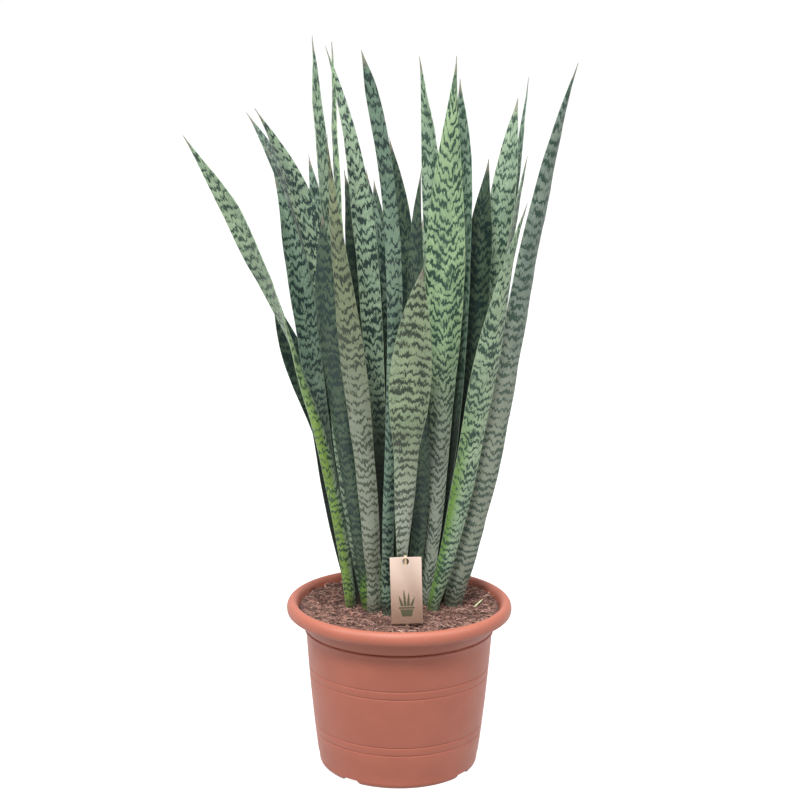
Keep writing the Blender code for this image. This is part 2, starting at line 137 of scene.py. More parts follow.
def sums(tree, operation, first, second=0.0, third=0.0, clamp=False):
    inputs = {0: first, 1: second, 2: third}
    return put(tree, "ShaderNodeMath", inputs, operation=operation, use_clamp=clamp)


def noise(tree, place, cells, seed=0.0, detail=2.0):
    """Noise whose cells are the given sizes in metres along the three coordinates."""
    spread = [1.0 / size if size else 0.0 for size in cells]
    placed = put(tree, "ShaderNodeVectorMath", {0: place, 1: spread, 2: (seed, seed * 0.7, seed * 1.3)},
                 operation="MULTIPLY_ADD")
    return put(tree, "ShaderNodeTexNoise", {"Vector": placed, "Scale": 1.0, "Detail": detail})


def ramp(tree, value, low, high):
    """0 at low and 1 at high, smooth between them; low may be the larger number."""
    if low > high:
        return sums(tree, "SUBTRACT", 1.0, ramp(tree, value, high, low))
    return put(tree, "ShaderNodeMapRange", {"Value": value, "From Min": low, "From Max": high},
               interpolation_type="SMOOTHSTEP")


def blend(tree, share, first, second):
    mixed = tree.nodes.new("ShaderNodeMix")
    mixed.data_type = "RGBA"
    for index, value in ((0, share), (6, first), (7, second)):
        if isinstance(value, bpy.types.NodeSocket):
            tree.links.new(value, mixed.inputs[index])
        else:
            mixed.inputs[index].default_value = value if index == 0 else (*value, 1.0)
    return mixed.outputs[2]


def bump(tree, height, depth, shader, strength=1.0):
    raised = put(tree, "ShaderNodeBump", {"Height": height, "Distance": depth, "Strength": strength})
    tree.links.new(raised, shader.inputs["Normal"])


# %% [markdown]
# ## Camera, floor and light
#
# The plant is seen from the front, a little from above, with a short telephoto lens. The floor is a
# plain pale sheet, and large soft lights stand in front and above, as in a plain studio.

# %% Camera
VIEW_HEIGHT = 0.7732
VIEW_DISTANCE = 1.8
VIEW_DOWN = 10.343
VIEW_ROLL = 0.4245
LENS = 70.1
LENS_SHIFT = -0.00095

lens = bpy.data.cameras.new("camera")
lens.lens = LENS
lens.sensor_width = 36.0
lens.shift_x = LENS_SHIFT
camera = bpy.data.objects.new("camera", lens)
bpy.context.scene.collection.objects.link(camera)
tilt = Matrix.Rotation(math.radians(90.0 - VIEW_DOWN), 4, "X")
tilt = tilt @ Matrix.Rotation(math.radians(VIEW_ROLL), 4, "Z")
camera.matrix_world = Matrix.Translation((0.0, -VIEW_DISTANCE, VIEW_HEIGHT)) @ tilt
bpy.context.scene.camera = camera

# %% Floor
FLOOR_SIDE = 120.0
bpy.ops.mesh.primitive_plane_add(size=FLOOR_SIDE, location=(0.0, 0.0, 0.0))
floor = bpy.context.object
floor.name = "floor"
paper, shader = new_finish("pale_floor", 0.9)
shader.inputs["Base Color"].default_value = (0.32, 0.32, 0.32, 1.0)
shader.inputs["Emission Color"].default_value = (1.0, 1.0, 1.0, 1.0)
floor.data.materials.append(paper)


def seen_or_mirrored(tree):
    """1 for rays that come from the camera or from a reflection, 0 for light that is scattered."""
    put(tree, "ShaderNodeLightPath")
    path = tree.nodes[-1].outputs
    return sums(tree, "MAXIMUM", path["Is Camera Ray"], path["Is Glossy Ray"])


paper.node_tree.links.new(seen_or_mirrored(paper.node_tree), shader.inputs["Emission Strength"])


# %% Lights
def soft_light(name, place, aim, side, power):
    light = bpy.data.lights.new(name, "AREA")
    light.shape = "SQUARE"
    light.size = side
    light.energy = power
    lamp = bpy.data.objects.new(name, light)
    bpy.context.scene.collection.objects.link(lamp)
    lamp.location = place
    lamp.rotation_euler = (Vector(aim) - Vector(place)).to_track_quat("-Z", "Y").to_euler()


PLANT_MIDDLE = (0.0, 0.0, 0.45)
SKY_FILL = 0.17             # strength of the sky as a light
SKY_SEEN = 0.85             # and how much brighter it is where it is seen or mirrored
soft_light("left_light", (-2.0, -1.0, 2.4), PLANT_MIDDLE, 1.2, 51.0)
soft_light("right_light", (2.0, -1.0, 2.4), PLANT_MIDDLE, 1.2, 46.0)
soft_light("front_light", (-0.4, -2.0, 2.9), PLANT_MIDDLE, 0.6, 74.0)
soft_light("top_light", (0.0, -0.6, 2.8), PLANT_MIDDLE, 0.7, 36.0)

world = bpy.data.worlds.new("studio")
bpy.context.scene.world = world
world.use_nodes = True
sky = world.node_tree.nodes["Background"]
sky.inputs["Color"].default_value = (1.0, 1.0, 1.0, 1.0)
sky_tree = world.node_tree
seen = seen_or_mirrored(sky_tree)
sky_tree.links.new(sums(sky_tree, "MULTIPLY_ADD", seen, SKY_SEEN, SKY_FILL), sky.inputs["Strength"])
bpy.context.scene.view_settings.view_transform = "Standard"
print("camera, floor and", len(bpy.data.lights), "lights")

# %% [markdown]
# ## Leaves
#
# A leaf of this plant is one stiff blade: thick and channelled at the soil, thinner above, often
# twisted, and ending in a thin dry point. Each CAD leaf was lofted through rings of eight points. The
# rings are found again in its mesh, and their middles make an open sheet of five points across. That
# sheet is subdivided, waved a little, and given a wall that is thin at the margins.

# %% Find a leaf's rings
MERGE = 0.00001


def leaf_rings(node):
    """The rings of points round a leaf, from the root up, and the point at its tip."""
    bm = bmesh.new()
    bm.from_mesh(node.data)
    bmesh.ops.remove_doubles(bm, verts=bm.verts, dist=MERGE)
    tip = max(bm.verts, key=lambda vert: vert.co.z)
    rings = []
    seen = {tip}
    ring = {edge.other_vert(tip) for edge in tip.link_edges}
    while ring:
        rings.append([vert.co.copy() for vert in ring])
        seen |= ring
        ring = {edge.other_vert(vert) for vert in ring for edge in vert.link_edges} - seen
    peak = tip.co.copy()
    bm.free()
    return rings[::-1], peak


def sheet_row(ring, last_left):
    """Five points across the middle of a ring, from its left margin to its right, and its thickness."""
    pairs = [(a, b) for i, a in enumerate(ring) for b in ring[i + 1:]]
    left, right = max(pairs, key=lambda pair: (pair[0] - pair[1]).length)
    if last_left is None:
        swapped = left.x > right.x
    else:
        swapped = (left - last_left).length > (right - last_left).length
    if swapped:
        left, right = right, left
    across = (right - left).normalized()
    inner = [point for point in ring if point not in (left, right)]
    inner.sort(key=lambda point: (point - left).dot(across))
    row = [left]
    for i in (0, 2, 4):
        row.append((inner[i] + inner[i + 1]) / 2)
    row.append(right)
    return row, (inner[2] - inner[3]).length


# %% Build one leaf
AWN_START = 0.72            # where the dry point begins, between the last ring and the tip
AWN_WIDTH = 0.16            # its width there, over the last ring's
AWN_THICKNESS = 0.8         # its thickness there, over the last ring's
TIP_THICKNESS = 0.15        # thickness at the tip, over the leaf's greatest
BAND_START = -0.03          # bands are counted from here up, in metres from the soil
LEAF_WAVES = (("wave", 0.075, 0.0050), ("ripple", 0.022, 0.0011))  # name, size, height
MARGIN_THICKNESS = 0.34     # the margin's thickness over the middle's
BAND_AT_SOIL = 0.0075       # spacing of the bands at the soil
BAND_GROWTH = 0.0115        # how much wider they get for each metre up the leaf


def leaf_sheet(node):
    """The open sheet of a leaf: rows of five points, each row's thickness, and the tip."""
    rings, tip = leaf_rings(node)
    rows = []
    walls = []
    left = None
    for ring in rings:
        row, wall = sheet_row(ring, left)
        left = row[0]
        rows.append(row)
        walls.append(wall)
    middle = rows[-1][2]
    awn_middle = middle.lerp(tip, AWN_START)
    rows.append([awn_middle + (point - middle) * AWN_WIDTH for point in rows[-1]])
    walls.append(walls[-1] * AWN_THICKNESS)
    return rows, walls, tip


def place_marks(piece, rows, tip):
    """Stores at each point its place on the blade, for the finish: across, along, share of the half
    width, number of bands below it, and distance from the tip."""
    soil = rows[1][2]
    along = [(rows[0][2] - soil).length * -1.0, 0.0]
    for lower, upper in zip(rows[1:], rows[2:]):
        along.append(along[-1] + (upper[2] - lower[2]).length)
    length = along[-1] + (tip - rows[-1][2]).length
    blade = []
    marks = []
    for row, height in zip(rows, along):
        half = (row[4] - row[0]).length / 2
        for i in range(5):
            share = -1.0 + i / 2
            blade.append((half * share, height, share))
            marks.append((bands_below(height), length - height, 0.0))
    blade.append((0.0, length, 0.0))
    marks.append((bands_below(length), 0.0, 0.0))
    for name, values in (("blade", blade), ("marks", marks)):
        attribute = piece.data.attributes.new(name, "FLOAT_VECTOR", "POINT")
        attribute.data.foreach_set("vector", [number for value in values for number in value])


def bands_below(height):
    height = max(height, BAND_START)
    return math.log(1.0 + BAND_GROWTH * height / BAND_AT_SOIL) / BAND_GROWTH


def build_leaf(name):
    rows, walls, tip = leaf_sheet(nodes[name])
    points = [point for row in rows for point in row] + [tip]
    faces = []
    for i in range(len(rows) - 1):
        for j in range(4):
            a = 5 * i + j
            faces.append((a, a + 1, a + 6, a + 5))
    last = 5 * (len(rows) - 1)
    faces += [(last + j, last + j + 1, len(points) - 1) for j in range(4)]
    piece = new_piece(name + "_blade", points, faces)
    place_marks(piece, rows, tip)

    thick = piece.vertex_groups.new(name="thickness")
    most = max(walls)
    for i, wall in enumerate(walls):
        for j in range(5):
            share = MARGIN_THICKNESS if j in (0, 4) else 1.0
            thick.add([5 * i + j], share * wall / most, "REPLACE")
    thick.add([len(points) - 1], TIP_THICKNESS, "REPLACE")
    crease = piece.data.attributes.new("crease_vert", "FLOAT", "POINT")
    crease.data[len(points) - 1].value = 1.0

    smooth = piece.modifiers.new("smooth", "SUBSURF")
    smooth.levels = smooth.render_levels = 3
    for label, size, height in LEAF_WAVES:
        texture = bpy.data.textures.new(name + "_" + label, "CLOUDS")
        texture.noise_scale = size
        texture.noise_depth = 1
        wave = piece.modifiers.new(label, "DISPLACE")
        wave.texture = texture
        wave.strength = height
        wave.mid_level = 0.5
    wall = piece.modifiers.new("wall", "SOLIDIFY")
    wall.thickness = most
    wall.offset = 0.0
    wall.vertex_group = "thickness"
    wall.use_quality_normals = True
    apply_all(piece)
    edit_all(piece)
    bpy.ops.mesh.normals_make_consistent(inside=False)
    leave_edit()
    bpy.ops.object.shade_smooth_by_angle(angle=math.radians(60))
    return piece


# %% [markdown]
# ### The leaf's finish
#
# The blade is pale sage green, crossed by dark blue-green bands whose edges are drawn out along the
# fibres. The bands are a wave counted along the leaf. Noise that is narrow across the blade and long
# beside it pushes the wave up and down, which gives the feathered zigzag. Broader noise lets some bands
# run together and others fade.


# %% Leaf finish
def leaf_finish(name, look):
    light, dark, cover, vee, zig, base, base_height, seed = look
    material, shader = new_finish(name + "_finish", 0.42)
    shader.inputs["Specular IOR Level"].default_value = 0.28
    tree = material.node_tree
    put(tree, "ShaderNodeAttribute", attribute_name="blade")
    blade = tree.nodes[-1].outputs["Vector"]
    put(tree, "ShaderNodeAttribute", attribute_name="marks")
    marks = tree.nodes[-1].outputs["Vector"]
    put(tree, "ShaderNodeSeparateXYZ", {0: blade})
    across, along, share = tree.nodes[-1].outputs[:3]
    put(tree, "ShaderNodeSeparateXYZ", {0: marks})
    bands, to_tip = tree.nodes[-1].outputs[:2]

    coarse = noise(tree, blade, (0.0065, 0.028, 0), seed, 1.0)
    middle = noise(tree, blade, (0.0022, 0.010, 0), seed + 3.1, 1.0)
    fine = noise(tree, blade, (0.0007, 0.0050, 0), seed + 5.7, 2.0)
    patch = noise(tree, blade, (0.011, 0.022, 0), seed + 9.2, 2.0)
    mottle = noise(tree, blade, (0.0013, 0.0032, 0), seed + 7.9, 3.0)
    tone = noise(tree, blade, (0.022, 0.080, 0), seed + 12.4, 2.0)

    edge = sums(tree, "ABSOLUTE", share)
    phase = sums(tree, "MULTIPLY_ADD", coarse, 2.2 * zig, bands)
    phase = sums(tree, "MULTIPLY_ADD", middle, 1.2 * zig, phase)
    phase = sums(tree, "MULTIPLY_ADD", fine, 0.55, phase)
    phase = sums(tree, "MULTIPLY_ADD", edge, -vee, phase)
    turn = sums(tree, "FRACT", phase)
    fading = sums(tree, "SUBTRACT", 1.0, ramp(tree, turn, 0.14, 0.80))
    crest = sums(tree, "MULTIPLY", ramp(tree, turn, 0.0, 0.10), fading)
    level = sums(tree, "MULTIPLY_ADD", crest, 0.52, cover - 0.22)
    for part, strength in ((patch, 1.35), (mottle, 1.15), (fine, 0.45)):
        level = sums(tree, "MULTIPLY_ADD", sums(tree, "SUBTRACT", part, 0.5), strength, level)
    mask = ramp(tree, level, 0.36, 0.64)

    toned = ramp(tree, tone, 0.35, 0.68)
    pale = blend(tree, toned, light, [part * scale for part, scale in zip(light, (0.74, 0.80, 0.82))])
    pale = blend(tree, ramp(tree, mottle, 0.45, 0.75), pale, [part * 1.25 for part in light])
    deep = blend(tree, toned, dark, [part * scale for part, scale in zip(dark, (1.5, 1.25, 1.3))])
    colour = blend(tree, mask, pale, deep)
    hair = noise(tree, blade, (0.00045, 0.0060, 0), seed + 2.2, 1.0)
    colour = blend(tree, sums(tree, "MULTIPLY", ramp(tree, hair, 0.52, 0.72), 0.38), colour, deep)
    streak = ramp(tree, fine, 0.48, 0.80)
    streak = sums(tree, "MULTIPLY", streak, sums(tree, "MULTIPLY_ADD", mask, -0.20, 0.26))
    colour = blend(tree, streak, colour, [part * 1.5 for part in light])
    # the colour near the soil: the leaf's own paler base, or on the inner leaves a near-black painted shadow
    if base is not None:
        lower = sums(tree, "SUBTRACT", 1.0, ramp(tree, along, base_height * 0.45, base_height))
        covering = -0.30 if base is PAINTED_SHADOW else -0.85
        lower = sums(tree, "MULTIPLY", lower, sums(tree, "MULTIPLY_ADD", mask, covering, 1.0))
        if name in MARGIN_STREAK:
            lower = sums(tree, "MULTIPLY", lower, ramp(tree, share, *MARGIN_STREAK[name]))
        colour = blend(tree, lower, colour, base)
    rim = sums(tree, "MULTIPLY", ramp(tree, edge, 0.93, 0.99), 0.45)
    colour = blend(tree, rim, colour, [part * 1.15 for part in light])
    dry = sums(tree, "SUBTRACT", 1.0, ramp(tree, to_tip, 0.004, 0.022))
    colour = blend(tree, dry, colour, (0.20, 0.19, 0.14))
    buried = sums(tree, "MULTIPLY", sums(tree, "SUBTRACT", 1.0, ramp(tree, along, -0.004, 0.022)), 0.6)
    colour = blend(tree, buried, colour, (0.055, 0.040, 0.028))
    tree.links.new(colour, shader.inputs["Base Color"])
    tree.links.new(sums(tree, "MULTIPLY_ADD", mask, -0.07, 0.44), shader.inputs["Roughness"])
    bump(tree, sums(tree, "MULTIPLY_ADD", mask, 0.6, fine), 0.00035, shader, 0.5)
    return material


# name: light, dark, share of dark, depth of the V across the blade, strength of the zigzag, colour
# near the soil with the height it reaches (metres), and a number that makes its pattern its own.
# On the leaves deep in the plant the colour near the soil is a near-black painted shadow.
SAGE = (0.30, 0.42, 0.23)
OLIVE = (0.19, 0.22, 0.125)
MOSSY = (0.26, 0.325, 0.195)
MINT = (0.32, 0.42, 0.27)
GREY = (0.27, 0.36, 0.24)
BLUE = (0.16, 0.235, 0.165)
SLATE = (0.20, 0.25, 0.20)
# painted shade: the leaf green darkened for the leaves that stand in the plant's shade
PAINTED_SHADE_GREEN = (0.070, 0.105, 0.065)
PINE = (0.020, 0.050, 0.034)
INK = (0.011, 0.027, 0.023)
MOSS = (0.026, 0.040, 0.025)
LIME = (0.19, 0.30, 0.06)
SPRING = (0.13, 0.25, 0.045)
# painted shadow: near black, laid on the lower part of the leaves that stand deep in the plant's shade
PAINTED_SHADOW = (0.006, 0.008, 0.006)
SILVER = (0.34, 0.38, 0.31)
ASH = (0.25, 0.28, 0.215)
# the leaves whose lower colour keeps to one margin: the places across the blade where it starts and ends
MARGIN_STREAK = {"leaf_left_outer": (0.45, -0.25), "leaf_front_right": (0.25, -0.75)}
LEAF_LOOKS = {
    "leaf_front_left": (OLIVE, MOSS, 0.43, 0.5, 0.7, ASH, 0.40, 1.0),
    "leaf_front_slim": (BLUE, INK, 0.44, 0.2, 0.9, None, 0.0, 2.0),
    "leaf_front_short": (MOSSY, MOSS, 0.44, -0.4, 0.6, SILVER, 0.24, 3.0),
    "leaf_front_tall": (SAGE, PINE, 0.45, 1.6, 0.8, SILVER, 0.34, 4.0),
    "leaf_front_right": (MINT, PINE, 0.46, 0.9, 0.9, SPRING, 0.30, 5.0),
    "leaf_right_outer": (SLATE, PINE, 0.44, 0.3, 0.6, ASH, 0.45, 6.0),
    "leaf_left_outer": (MINT, PINE, 0.41, 0.3, 0.9, LIME, 0.42, 7.0),
    "leaf_left_low": (PAINTED_SHADE_GREEN, INK, 0.50, 0.2, 0.9, SPRING, 0.05, 8.0),
    "leaf_left_broad": (GREY, INK, 0.50, 0.4, 0.9, None, 0.0, 9.0),
    "leaf_left_awn": (BLUE, INK, 0.55, 0.3, 1.0, None, 0.0, 10.0),
    "leaf_left_edge": (SLATE, INK, 0.50, 0.3, 1.0, None, 0.0, 11.0),
    "leaf_left_dark": (BLUE, INK, 0.48, 0.3, 0.9, PAINTED_SHADOW, 0.34, 12.0),
    "leaf_left_back": (PAINTED_SHADE_GREEN, INK, 0.55, 0.3, 0.9, None, 0.0, 13.0),
    "leaf_left_small": (BLUE, INK, 0.50, 0.3, 1.0, None, 0.0, 14.0),
    "leaf_tallest": (GREY, PINE, 0.50, 0.3, 1.0, None, 0.0, 15.0),
    "leaf_twin_broad": (GREY, INK, 0.46, 0.4, 0.9, PAINTED_SHADOW, 0.34, 16.0),
    "leaf_twin_slim": (SAGE, PINE, 0.48, 0.3, 1.0, None, 0.0, 17.0),
    "leaf_middle_dark": (PAINTED_SHADE_GREEN, INK, 0.54, 0.3, 0.9, PAINTED_SHADOW, 0.44, 18.0),
    "leaf_middle_blue": (BLUE, INK, 0.53, 0.3, 1.0, PAINTED_SHADOW, 0.42, 19.0),
    "leaf_middle_low": (PAINTED_SHADE_GREEN, INK, 0.54, 0.3, 1.0, PAINTED_SHADOW, 0.42, 20.0),
    "leaf_middle_awn": (PAINTED_SHADE_GREEN, INK, 0.50, 0.3, 1.0, PAINTED_SHADOW, 0.40, 21.0),
    "leaf_centre_dark": (PAINTED_SHADE_GREEN, INK, 0.50, 0.3, 1.0, None, 0.0, 22.0),
    "leaf_centre_neck": (GREY, PINE, 0.48, 0.4, 0.9, PAINTED_SHADOW, 0.34, 23.0),
    "leaf_centre_back": (BLUE, PINE, 0.48, 0.4, 0.9, PAINTED_SHADOW, 0.38, 24.0),
    "leaf_right_low": (PAINTED_SHADE_GREEN, INK, 0.50, 1.2, 0.8, PAINTED_SHADOW, 0.36, 25.0),
    "leaf_right_broad": (GREY, PINE, 0.44, 0.4, 0.9, PAINTED_SHADOW, 0.34, 26.0),
    "leaf_right_awn": (BLUE, PINE, 0.50, 0.4, 1.0, PAINTED_SHADOW, 0.30, 27.0),
    "leaf_right_edge": (GREY, PINE, 0.50, 0.3, 1.0, PAINTED_SHADOW, 0.30, 28.0),
    "leaf_back_left": (BLUE, INK, 0.52, 0.3, 1.0, None, 0.0, 29.0),
    "leaf_back_inner": (GREY, INK, 0.50, 0.4, 1.0, None, 0.0, 30.0),
    "leaf_back_middle": (GREY, PINE, 0.50, 0.4, 1.0, None, 0.0, 31.0),
    "leaf_back_right": (BLUE, INK, 0.52, 0.3, 1.0, None, 0.0, 32.0),
    "leaf_back_outer": (GREY, PINE, 0.50, 0.3, 1.0, None, 0.0, 33.0),
}
leaf_slots = {part["node"]: part["material_slot"] for part in frame["record"]["subparts"]}

# %% Build all leaves
for name, look in LEAF_LOOKS.items():
    blade_piece = build_leaf(name)
    finish_piece(blade_piece, leaf_finish(name, look), leaf_slots[name], name)
print("leaves:", len(LEAF_LOOKS))

# %% [markdown]
# ## Pot
#
# The pot is one moulding of terracotta-coloured plastic: a thick rolled rim over a tapering wall with a
# thin bead under the rim and two pairs of fine grooves. Turning one profile about the axis gives all of
# it. The drain notches and holes are cut afterwards.

# %% Pot sizes
pot_low, pot_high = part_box("pot")
POT_TOP = pot_high.z
RIM_RADIUS = (pot_high.x - pot_low.x) / 2
WALL = 0.0024
ROLL = (0.0138, 0.0186)     # the rim's roll, across and top to bottom
ROLL_START = 165.0          # where the inside wall meets the roll, in degrees round it
NECK = (RIM_RADIUS - 0.023, POT_TOP - 0.0361)  # radius and height where the body ends
BODY_TAPER = 0.0103         # straight part of the body's narrowing, neck to foot
BODY_BOW = 0.0062           # curved part of the same narrowing
FLOOR_TOP = 0.0083
FLOOR_CORNER = 0.005        # radius between the floor and the wall, inside
GROOVE_PAIRS = (0.588, 0.238)  # middles of the pairs, as shares of the pot's height
GROOVE_STEP = 0.0050        # from the middle of a pair to each of its grooves
RING_INSET = 0.0070         # from the foot's outer radius to the standing ring
RING_WIDTH = 0.009
RAISED = 0.0055             # height of the underside above the ground
POT_TURN = 144              # steps in the turning


def body_radius(z):
    """The wall narrows from the neck to the foot, and bows out a little between them."""
    share = (NECK[1] - z) / NECK[1]
    return NECK[0] - BODY_TAPER * share - BODY_BOW * share * share


def inner_radius(z):
    """The inside of the wall, which opens above the neck to meet the roll."""
    wall = body_radius(min(z, NECK[1])) - WALL
    start = math.radians(ROLL_START)
    mouth = RIM_RADIUS - ROLL[0] / 2 * (1.0 - math.cos(start))
    top = POT_TOP - ROLL[1] / 2 * (1.0 - math.sin(start))
    return wall + (mouth - wall) * max(0.0, z - NECK[1]) / (top - NECK[1])


def arc(centre, radii, start, end, count):
    turns = [math.radians(start + (end - start) * i / (count - 1)) for i in range(count)]
    return [(centre[0] + radii[0] * math.cos(turn), centre[1] + radii[1] * math.sin(turn)) for turn in turns]


def groove(z):
    """A fine groove with rounded lips, as the mould leaves it."""
    steps = ((0.0018, 0.0), (0.0011, 0.00008), (0.0006, 0.00045), (0.0, 0.0007), (-0.0006, 0.00045),
             (-0.0011, 0.00008), (-0.0018, 0.0))
    return [(body_radius(z + up) - deep, z + up) for up, deep in steps]


# %% Turn a profile
def turned(name, profile, steps):
    """Turns a profile of (radius, height) points about the axis, and closes its poles."""
    points = [(radius, 0.0, z) for radius, z in profile]
    edges = [(i, i + 1) for i in range(len(points) - 1)]
    piece = new_piece(name, points, edges=edges)
    edit_all(piece)
    bpy.ops.mesh.spin(steps=steps, angle=2 * math.pi, center=(0, 0, 0), axis=(0, 0, 1))
    bpy.ops.mesh.select_all(action="SELECT")
    bpy.ops.mesh.remove_doubles(threshold=0.00004)
    bpy.ops.mesh.normals_make_consistent(inside=False)
    leave_edit()
    return piece


def pot_profile():
    roll = (RIM_RADIUS - ROLL[0] / 2, POT_TOP - ROLL[1] / 2)
    outer = (ROLL[0] / 2, ROLL[1] / 2)
    hollow = (outer[0] - WALL, outer[1] - WALL)
    corner = inner_radius(FLOOR_TOP + FLOOR_CORNER)
    profile = [(0.0, FLOOR_TOP), (0.03, FLOOR_TOP), (0.06, FLOOR_TOP)]
    turning = (corner - FLOOR_CORNER, FLOOR_TOP + FLOOR_CORNER)
    profile += arc(turning, (FLOOR_CORNER, FLOOR_CORNER), -90, 0, 6)
    profile += [(inner_radius(z), z) for z in np.linspace(0.03, NECK[1], 9)]
    profile += arc(roll, outer, ROLL_START, -30, 26)
    profile += [(roll[0] + hollow[0] * 0.98, roll[1] - outer[1] * 0.66),
                (roll[0] + hollow[0] * 0.92, roll[1] - 0.0058)]
    profile += arc(roll, hollow, 0, 170, 9)
    profile += [(NECK[0] + 0.0045, NECK[1] + 0.0100), (NECK[0] + 0.0021, NECK[1] + 0.0045)]
    profile += arc((NECK[0] + 0.0002, NECK[1] + 0.0004), (0.0015, 0.0019), 90, -80, 8)
    profile += [(body_radius(z), z) for z in (NECK[1] - 0.0030, NECK[1] - 0.012, NECK[1] - 0.030)]
    for share in GROOVE_PAIRS:
        middle = share * POT_TOP
        profile += groove(middle + GROOVE_STEP)
        profile += groove(middle - GROOVE_STEP)
        if share == GROOVE_PAIRS[0]:
            profile += [(body_radius(z), z) for z in (0.095, 0.080, 0.065)]
    foot = body_radius(0.0)
    profile += [(body_radius(z), z) for z in (0.028, 0.018)]
    profile += arc((foot - 0.0048, 0.0072), (0.0052, 0.0072), 12, -90, 9)
    ring = foot - RING_INSET
    profile += [(ring, 0.0), (ring - RING_WIDTH, 0.0), (ring - 0.011, RAISED)]
    profile += [(0.05, RAISED), (0.019, RAISED), (0.018, 0.0), (0.0, 0.0)]
    return profile


pot_body = turned("pot_body", pot_profile(), POT_TURN)
print("pot faces:", len(pot_body.data.polygons))

# %% [markdown]
# The notches in the standing ring let water run out. Each one is a wedge, narrower at its top, so its
# ends slope as the mould needs. The holes in the floor sit behind them.

# %% Cut the notches and holes
NOTCH_COUNT = 4
NOTCH_TURN = 54.0           # degrees from +X to the first notch
NOTCH_TOP = 0.56            # a notch's width at its top, over its width at the ground
NOTCH_SIZE = (0.032, 0.034, 0.0104)
NOTCH_REACH = 0.0085        # from the foot's outer radius in to the middle of a notch
DRAIN_RADIUS = 0.007
DRAIN_CIRCLE = 0.0663       # radius of the circle that the drain holes stand on
notches = []
for i in range(NOTCH_COUNT):
    turn = math.radians(NOTCH_TURN + 90.0 * i)
    bpy.ops.mesh.primitive_cube_add(size=1.0)
    wedge = bpy.context.object
    bpy.ops.object.mode_set(mode="EDIT")
    bpy.ops.mesh.select_all(action="DESELECT")
    leave_edit()
    for face in wedge.data.polygons:
        face.select = face.normal.z > 0.5
    bpy.ops.object.mode_set(mode="EDIT")
    bpy.ops.transform.resize(value=(1.0, NOTCH_TOP, 1.0))
    leave_edit()
    wedge.scale = NOTCH_SIZE
    wedge.rotation_euler = (0.0, 0.0, turn)
    reach = body_radius(0.0) - NOTCH_REACH
    wedge.location = (reach * math.cos(turn), reach * math.sin(turn), 0.0)
    settle(wedge)
    notches.append(wedge)
    bpy.ops.mesh.primitive_cylinder_add(vertices=32, radius=DRAIN_RADIUS, depth=0.012)
    hole = bpy.context.object
    hole.location = (DRAIN_CIRCLE * math.cos(turn), DRAIN_CIRCLE * math.sin(turn), FLOOR_TOP)
    settle(hole)
    notches.append(hole)

for cutter in notches:
    cutting = pot_body.modifiers.new("cut", "BOOLEAN")
    cutting.operation = "DIFFERENCE"
    cutting.solver = "EXACT"
    cutting.object = cutter
apply_all(pot_body)
for cutter in notches:
    bpy.data.objects.remove(cutter)
pick(pot_body)
bpy.ops.object.shade_smooth_by_angle(angle=math.radians(40))
print("pot faces with notches and holes:", len(pot_body.data.polygons))

# %% [markdown]
# ### Moulded plastic
#
# The plastic is nearly matte. It has a faint grain, cloudy differences in tone, and soil dust on the rim.

# %% Pot finish
plastic, shader = new_finish("terracotta_plastic", 0.5)
tree = plastic.node_tree
put(tree, "ShaderNodeTexCoord")
place = tree.nodes[-1].outputs["Object"]
put(tree, "ShaderNodeSeparateXYZ", {0: place})
up = tree.nodes[-1].outputs[2]
cloud = noise(tree, place, (0.05, 0.05, 0.035), 1.0, 3.0)
speck = noise(tree, place, (0.0012, 0.0012, 0.0012), 2.0, 2.0)
grain = noise(tree, place, (0.0004, 0.0004, 0.0004), 3.0, 1.0)
colour = blend(tree, ramp(tree, cloud, 0.3, 0.7), (0.405, 0.118, 0.072), (0.375, 0.108, 0.066))
colour = blend(tree, sums(tree, "MULTIPLY", ramp(tree, speck, 0.60, 0.75), 0.18), colour, (0.52, 0.20, 0.14))
dusty = sums(tree, "MULTIPLY", ramp(tree, up, POT_TOP - 0.030, POT_TOP), ramp(tree, speck, 0.35, 0.8))
colour = blend(tree, sums(tree, "MULTIPLY", dusty, 0.18), colour, (0.50, 0.24, 0.17))
tree.links.new(colour, shader.inputs["Base Color"])
tree.links.new(sums(tree, "MULTIPLY_ADD", cloud, 0.16, 0.42), shader.inputs["Roughness"])
bump(tree, sums(tree, "MULTIPLY_ADD", speck, 0.5, grain), 0.00012, shader, 0.5)
finish_piece(pot_body, plastic, "terracotta_plastic", "pot")

# %% [markdown]
# ## Soil
#
# Coir soil is loose and fibrous. A disc of many small faces fills the pot and is pushed up and down
# by noise. Thousands of crumbs and short curved fibres then lie on it. A few small shapes are modelled
# once, and then copied, turned and scaled.

# %% Soil body
SOIL_GAP = 0.0006
SOIL_BANK = 0.005           # how much the soil rises towards the wall
SOIL_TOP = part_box("soil")[1].z - SOIL_BANK
SOIL_EDGE = inner_radius(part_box("soil")[1].z) - SOIL_GAP
SOIL_LEVEL = 0.096          # the soil is level inside this radius
SOIL_STEP = 0.0019          # width of the rings of faces on the soil
SOIL_ROUND = 0.0012         # the soil's edge is rounded off by this much
SOIL_FOOT = 0.0088          # height of the soil's lower side
SOIL_TURN = 180
SOIL_WAVES = (("heap", 0.022, 0.0052), ("lump", 0.0075, 0.0058), ("crumb", 0.0028, 0.0026))


def soil_level(radius):
    return SOIL_TOP + SOIL_BANK * max(0.0, radius - SOIL_LEVEL) / (SOIL_EDGE - SOIL_LEVEL)


